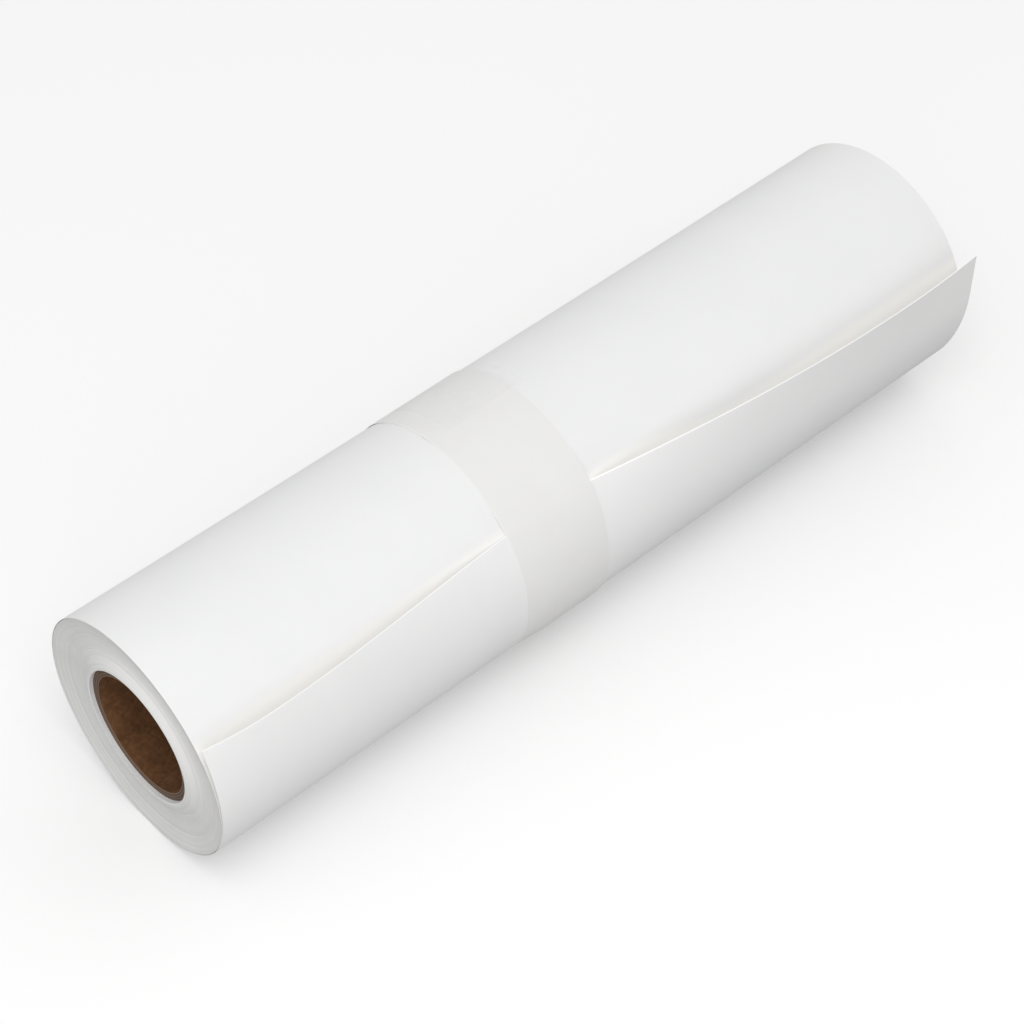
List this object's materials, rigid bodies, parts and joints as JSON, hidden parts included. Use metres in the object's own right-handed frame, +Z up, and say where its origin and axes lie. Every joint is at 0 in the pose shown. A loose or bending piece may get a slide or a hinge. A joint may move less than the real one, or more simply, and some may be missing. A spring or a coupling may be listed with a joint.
{
  "type": "backdrop paper roll",
  "caption": "Roll of plain white background paper on a spiral-wound board core, held shut by a taped paper band, with the free end of the web lying over the front.",
  "frame": {"origin": "centre of the core's bore at mid-length", "axes": "+X along the roll's axis, +Z up; the free end of the web lies over the front (-Y) side with its cut edge upwards"},
  "size_m": [0.5969, 0.1625, 0.1552],
  "materials": {
    "web_paper": "matte",
    "band_paper": "matte",
    "clear_tape": "gloss",
    "core_liner": "matte",
    "core_board": "matte",
    "core_cover": "matte",
    "start_tape": "matte"
  },
  "bodies": {
    "roll": {"core_liner_ply": "core_liner", "core_board_ply_01": "core_board", "core_board_ply_02": "core_board", "core_board_ply_03": "core_board", "core_board_ply_04": "core_board", "core_board_ply_05": "core_board", "core_board_ply_06": "core_board", "core_board_ply_07": "core_board", "core_board_ply_08": "core_board", "core_board_ply_09": "core_board", "core_board_ply_10": "core_board", "core_cover_ply": "core_cover", "start_tape": "start_tape", "wound_paper": "web_paper", "outer_turn": "web_paper", "tail_middle": "web_paper", "band_back": "band_paper"},
    "tail_near": {"tail_near": "web_paper"},
    "tail_far": {"tail_far": "web_paper"},
    "band_flap": {"band_front": "band_paper", "band_tape": "clear_tape"}
  },
  "joints": [
    {"name": "tail_near_lift", "type": "hinge", "parent": "roll", "child": "tail_near", "pos_m": [-0.1855, -0.07019, -0.03273], "axis": [1, 0, 0], "range_deg": [0, 35], "stiffness_Nm_per_rad": 0.02},
    {"name": "tail_far_lift", "type": "hinge", "parent": "roll", "child": "tail_far", "pos_m": [0.144, -0.07019, -0.03273], "axis": [1, 0, 0], "range_deg": [0, 35], "stiffness_Nm_per_rad": 0.02},
    {"name": "band_open", "type": "hinge", "parent": "roll", "child": "band_flap", "pos_m": [-0.0414, -0.06901, -0.03516], "axis": [1, 0, 0], "range_deg": [0, 95]}
  ]
}
